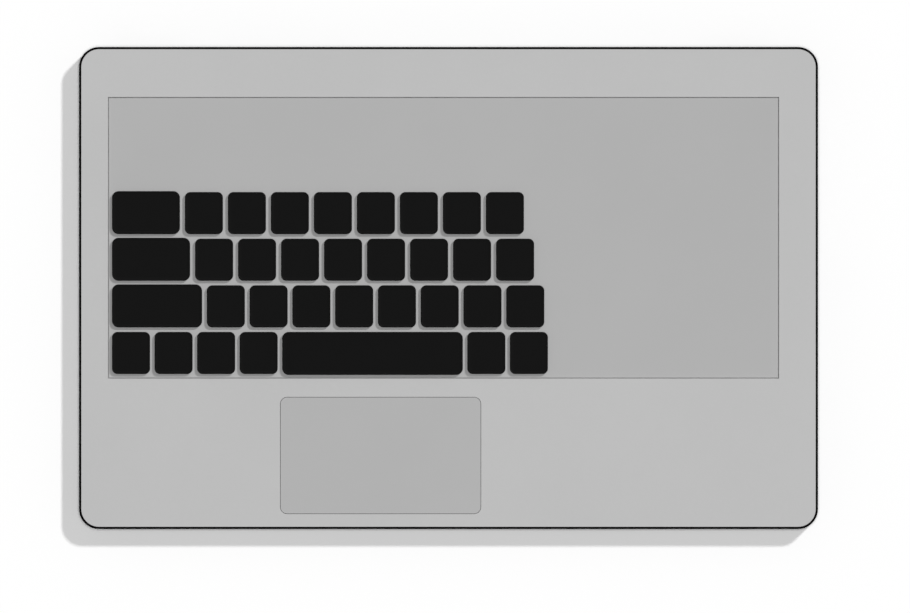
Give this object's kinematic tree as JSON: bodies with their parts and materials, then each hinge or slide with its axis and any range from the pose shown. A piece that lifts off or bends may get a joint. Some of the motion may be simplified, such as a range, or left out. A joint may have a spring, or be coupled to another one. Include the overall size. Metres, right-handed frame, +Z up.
{
  "type": "broken laptop",
  "caption": "Laptop base without its lid: metal deck in a black tub, bare keyboard plate with some black keys left, touchpad, side sockets and empty hinge brackets.",
  "frame": {"origin": "on the table, under the middle of the body", "axes": "+X to the user's right along the body's width, +Y towards the hinges at the rear, +Z up"},
  "size_m": [0.3264, 0.213, 0.0176],
  "materials": {
    "case_plastic": "matte",
    "deck_aluminium": "satin",
    "plate_aluminium": "satin",
    "key_plastic": "matte",
    "touchpad_film": "satin",
    "film": "satin",
    "link_plastic": "satin",
    "dome_rubber": "matte",
    "bright_steel": "satin",
    "dark_steel": "satin",
    "green_board": "satin",
    "copper": "satin",
    "fan_plastic": "matte",
    "battery_wrap": "satin",
    "socket_plastic": "satin",
    "foot_rubber": "matte"
  },
  "bodies": {
    "base": {"bottom_case": "case_plastic", "deck": "deck_aluminium", "keyboard_plate": "plate_aluminium", "keyboard_membrane": "film", "scissor_links": "link_plastic", "rubber_domes": "dome_rubber", "stabiliser_bars": "bright_steel", "touchpad_ribbon": "film", "mainboard": "green_board", "memory_module": "green_board", "ssd_module": "green_board", "heat_pipe": "copper", "fin_stack": "copper", "fan_housing": "dark_steel", "battery": "battery_wrap", "speakers": "fan_plastic", "hinge_brackets": "bright_steel", "usb_sockets": "bright_steel", "video_socket": "bright_steel", "audio_jack": "socket_plastic", "power_jack": "socket_plastic", "rubber_feet": "foot_rubber", "screws": "dark_steel"},
    "touchpad": {"touchpad": "touchpad_film", "touchpad_board": "green_board"},
    "fan_rotor": {"fan_rotor": "fan_plastic"},
    "control_key": {"control_key": "key_plastic"},
    "function_key": {"function_key": "key_plastic"},
    "super_key": {"super_key": "key_plastic"},
    "alt_key": {"alt_key": "key_plastic"},
    "space_bar": {"space_bar": "key_plastic"},
    "alt_gr_key": {"alt_gr_key": "key_plastic"},
    "menu_key": {"menu_key": "key_plastic"},
    "shift_key": {"shift_key": "key_plastic"},
    "key_z": {"key_z": "key_plastic"},
    "key_x": {"key_x": "key_plastic"},
    "key_c": {"key_c": "key_plastic"},
    "key_v": {"key_v": "key_plastic"},
    "key_b": {"key_b": "key_plastic"},
    "key_n": {"key_n": "key_plastic"},
    "key_m": {"key_m": "key_plastic"},
    "key_comma": {"key_comma": "key_plastic"},
    "caps_key": {"caps_key": "key_plastic"},
    "key_a": {"key_a": "key_plastic"},
    "key_s": {"key_s": "key_plastic"},
    "key_d": {"key_d": "key_plastic"},
    "key_f": {"key_f": "key_plastic"},
    "key_g": {"key_g": "key_plastic"},
    "key_h": {"key_h": "key_plastic"},
    "key_j": {"key_j": "key_plastic"},
    "key_k": {"key_k": "key_plastic"},
    "tab_key": {"tab_key": "key_plastic"},
    "key_q": {"key_q": "key_plastic"},
    "key_w": {"key_w": "key_plastic"},
    "key_e": {"key_e": "key_plastic"},
    "key_r": {"key_r": "key_plastic"},
    "key_t": {"key_t": "key_plastic"},
    "key_y": {"key_y": "key_plastic"},
    "key_u": {"key_u": "key_plastic"},
    "key_i": {"key_i": "key_plastic"}
  },
  "joints": [
    {"name": "touchpad_press", "type": "hinge", "parent": "base", "child": "touchpad", "pos_m": [-0.03, -0.04625, 0.0134], "axis": [1, 0, 0], "range_deg": [0, 0.5], "stiffness_Nm_per_rad": 8, "springref_deg": -0.29, "deforming": ["touchpad_ribbon"]},
    {"name": "fan_spin", "type": "hinge", "parent": "base", "child": "fan_rotor", "pos_m": [-0.07, 0.058, 0.0074], "axis": [0, 0, 1], "continuous": true},
    {"name": "space_bar_press", "type": "slide", "parent": "base", "child": "space_bar", "axis": [0, 0, 1], "range_m": [-0.0013, 0], "stiffness_N_per_m": 400, "springref_m": 0.0004, "deforming": ["scissor_links", "rubber_domes", "stabiliser_bars"]},
    {"name": "shift_key_press", "type": "slide", "parent": "base", "child": "shift_key", "axis": [0, 0, 1], "range_m": [-0.0013, 0], "stiffness_N_per_m": 400, "springref_m": 0.0004, "deforming": ["scissor_links", "rubber_domes", "stabiliser_bars"]},
    {"name": "caps_key_press", "type": "slide", "parent": "base", "child": "caps_key", "axis": [0, 0, 1], "range_m": [-0.0013, 0], "stiffness_N_per_m": 400, "springref_m": 0.0004, "deforming": ["scissor_links", "rubber_domes", "stabiliser_bars"]},
    {"name": "tab_key_press", "type": "slide", "parent": "base", "child": "tab_key", "axis": [0, 0, 1], "range_m": [-0.0013, 0], "stiffness_N_per_m": 400, "springref_m": 0.0004, "deforming": ["scissor_links", "rubber_domes", "stabiliser_bars"]},
    {"name": "control_key_press", "type": "slide", "parent": "base", "child": "control_key", "axis": [0, 0, 1], "range_m": [-0.0013, 0], "stiffness_N_per_m": 400, "springref_m": 0.0004, "deforming": ["scissor_links", "rubber_domes"]},
    {"name": "function_key_press", "type": "slide", "parent": "base", "child": "function_key", "axis": [0, 0, 1], "range_m": [-0.0013, 0], "stiffness_N_per_m": 400, "springref_m": 0.0004, "deforming": ["scissor_links", "rubber_domes"]},
    {"name": "super_key_press", "type": "slide", "parent": "base", "child": "super_key", "axis": [0, 0, 1], "range_m": [-0.0013, 0], "stiffness_N_per_m": 400, "springref_m": 0.0004, "deforming": ["scissor_links", "rubber_domes"]},
    {"name": "alt_key_press", "type": "slide", "parent": "base", "child": "alt_key", "axis": [0, 0, 1], "range_m": [-0.0013, 0], "stiffness_N_per_m": 400, "springref_m": 0.0004, "deforming": ["scissor_links", "rubber_domes"]},
    {"name": "alt_gr_key_press", "type": "slide", "parent": "base", "child": "alt_gr_key", "axis": [0, 0, 1], "range_m": [-0.0013, 0], "stiffness_N_per_m": 400, "springref_m": 0.0004, "deforming": ["scissor_links", "rubber_domes"]},
    {"name": "menu_key_press", "type": "slide", "parent": "base", "child": "menu_key", "axis": [0, 0, 1], "range_m": [-0.0013, 0], "stiffness_N_per_m": 400, "springref_m": 0.0004, "deforming": ["scissor_links", "rubber_domes"]},
    {"name": "key_z_press", "type": "slide", "parent": "base", "child": "key_z", "axis": [0, 0, 1], "range_m": [-0.0013, 0], "stiffness_N_per_m": 400, "springref_m": 0.0004, "deforming": ["scissor_links", "rubber_domes"]},
    {"name": "key_x_press", "type": "slide", "parent": "base", "child": "key_x", "axis": [0, 0, 1], "range_m": [-0.0013, 0], "stiffness_N_per_m": 400, "springref_m": 0.0004, "deforming": ["scissor_links", "rubber_domes"]},
    {"name": "key_c_press", "type": "slide", "parent": "base", "child": "key_c", "axis": [0, 0, 1], "range_m": [-0.0013, 0], "stiffness_N_per_m": 400, "springref_m": 0.0004, "deforming": ["scissor_links", "rubber_domes"]},
    {"name": "key_v_press", "type": "slide", "parent": "base", "child": "key_v", "axis": [0, 0, 1], "range_m": [-0.0013, 0], "stiffness_N_per_m": 400, "springref_m": 0.0004, "deforming": ["scissor_links", "rubber_domes"]},
    {"name": "key_b_press", "type": "slide", "parent": "base", "child": "key_b", "axis": [0, 0, 1], "range_m": [-0.0013, 0], "stiffness_N_per_m": 400, "springref_m": 0.0004, "deforming": ["scissor_links", "rubber_domes"]},
    {"name": "key_n_press", "type": "slide", "parent": "base", "child": "key_n", "axis": [0, 0, 1], "range_m": [-0.0013, 0], "stiffness_N_per_m": 400, "springref_m": 0.0004, "deforming": ["scissor_links", "rubber_domes"]},
    {"name": "key_m_press", "type": "slide", "parent": "base", "child": "key_m", "axis": [0, 0, 1], "range_m": [-0.0013, 0], "stiffness_N_per_m": 400, "springref_m": 0.0004, "deforming": ["scissor_links", "rubber_domes"]},
    {"name": "key_comma_press", "type": "slide", "parent": "base", "child": "key_comma", "axis": [0, 0, 1], "range_m": [-0.0013, 0], "stiffness_N_per_m": 400, "springref_m": 0.0004, "deforming": ["scissor_links", "rubber_domes"]},
    {"name": "key_a_press", "type": "slide", "parent": "base", "child": "key_a", "axis": [0, 0, 1], "range_m": [-0.0013, 0], "stiffness_N_per_m": 400, "springref_m": 0.0004, "deforming": ["scissor_links", "rubber_domes"]},
    {"name": "key_s_press", "type": "slide", "parent": "base", "child": "key_s", "axis": [0, 0, 1], "range_m": [-0.0013, 0], "stiffness_N_per_m": 400, "springref_m": 0.0004, "deforming": ["scissor_links", "rubber_domes"]},
    {"name": "key_d_press", "type": "slide", "parent": "base", "child": "key_d", "axis": [0, 0, 1], "range_m": [-0.0013, 0], "stiffness_N_per_m": 400, "springref_m": 0.0004, "deforming": ["scissor_links", "rubber_domes"]},
    {"name": "key_f_press", "type": "slide", "parent": "base", "child": "key_f", "axis": [0, 0, 1], "range_m": [-0.0013, 0], "stiffness_N_per_m": 400, "springref_m": 0.0004, "deforming": ["scissor_links", "rubber_domes"]},
    {"name": "key_g_press", "type": "slide", "parent": "base", "child": "key_g", "axis": [0, 0, 1], "range_m": [-0.0013, 0], "stiffness_N_per_m": 400, "springref_m": 0.0004, "deforming": ["scissor_links", "rubber_domes"]},
    {"name": "key_h_press", "type": "slide", "parent": "base", "child": "key_h", "axis": [0, 0, 1], "range_m": [-0.0013, 0], "stiffness_N_per_m": 400, "springref_m": 0.0004, "deforming": ["scissor_links", "rubber_domes"]},
    {"name": "key_j_press", "type": "slide", "parent": "base", "child": "key_j", "axis": [0, 0, 1], "range_m": [-0.0013, 0], "stiffness_N_per_m": 400, "springref_m": 0.0004, "deforming": ["scissor_links", "rubber_domes"]},
    {"name": "key_k_press", "type": "slide", "parent": "base", "child": "key_k", "axis": [0, 0, 1], "range_m": [-0.0013, 0], "stiffness_N_per_m": 400, "springref_m": 0.0004, "deforming": ["scissor_links", "rubber_domes"]},
    {"name": "key_q_press", "type": "slide", "parent": "base", "child": "key_q", "axis": [0, 0, 1], "range_m": [-0.0013, 0], "stiffness_N_per_m": 400, "springref_m": 0.0004, "deforming": ["scissor_links", "rubber_domes"]},
    {"name": "key_w_press", "type": "slide", "parent": "base", "child": "key_w", "axis": [0, 0, 1], "range_m": [-0.0013, 0], "stiffness_N_per_m": 400, "springref_m": 0.0004, "deforming": ["scissor_links", "rubber_domes"]},
    {"name": "key_e_press", "type": "slide", "parent": "base", "child": "key_e", "axis": [0, 0, 1], "range_m": [-0.0013, 0], "stiffness_N_per_m": 400, "springref_m": 0.0004, "deforming": ["scissor_links", "rubber_domes"]},
    {"name": "key_r_press", "type": "slide", "parent": "base", "child": "key_r", "axis": [0, 0, 1], "range_m": [-0.0013, 0], "stiffness_N_per_m": 400, "springref_m": 0.0004, "deforming": ["scissor_links", "rubber_domes"]},
    {"name": "key_t_press", "type": "slide", "parent": "base", "child": "key_t", "axis": [0, 0, 1], "range_m": [-0.0013, 0], "stiffness_N_per_m": 400, "springref_m": 0.0004, "deforming": ["scissor_links", "rubber_domes"]},
    {"name": "key_y_press", "type": "slide", "parent": "base", "child": "key_y", "axis": [0, 0, 1], "range_m": [-0.0013, 0], "stiffness_N_per_m": 400, "springref_m": 0.0004, "deforming": ["scissor_links", "rubber_domes"]},
    {"name": "key_u_press", "type": "slide", "parent": "base", "child": "key_u", "axis": [0, 0, 1], "range_m": [-0.0013, 0], "stiffness_N_per_m": 400, "springref_m": 0.0004, "deforming": ["scissor_links", "rubber_domes"]},
    {"name": "key_i_press", "type": "slide", "parent": "base", "child": "key_i", "axis": [0, 0, 1], "range_m": [-0.0013, 0], "stiffness_N_per_m": 400, "springref_m": 0.0004, "deforming": ["scissor_links", "rubber_domes"]}
  ]
}
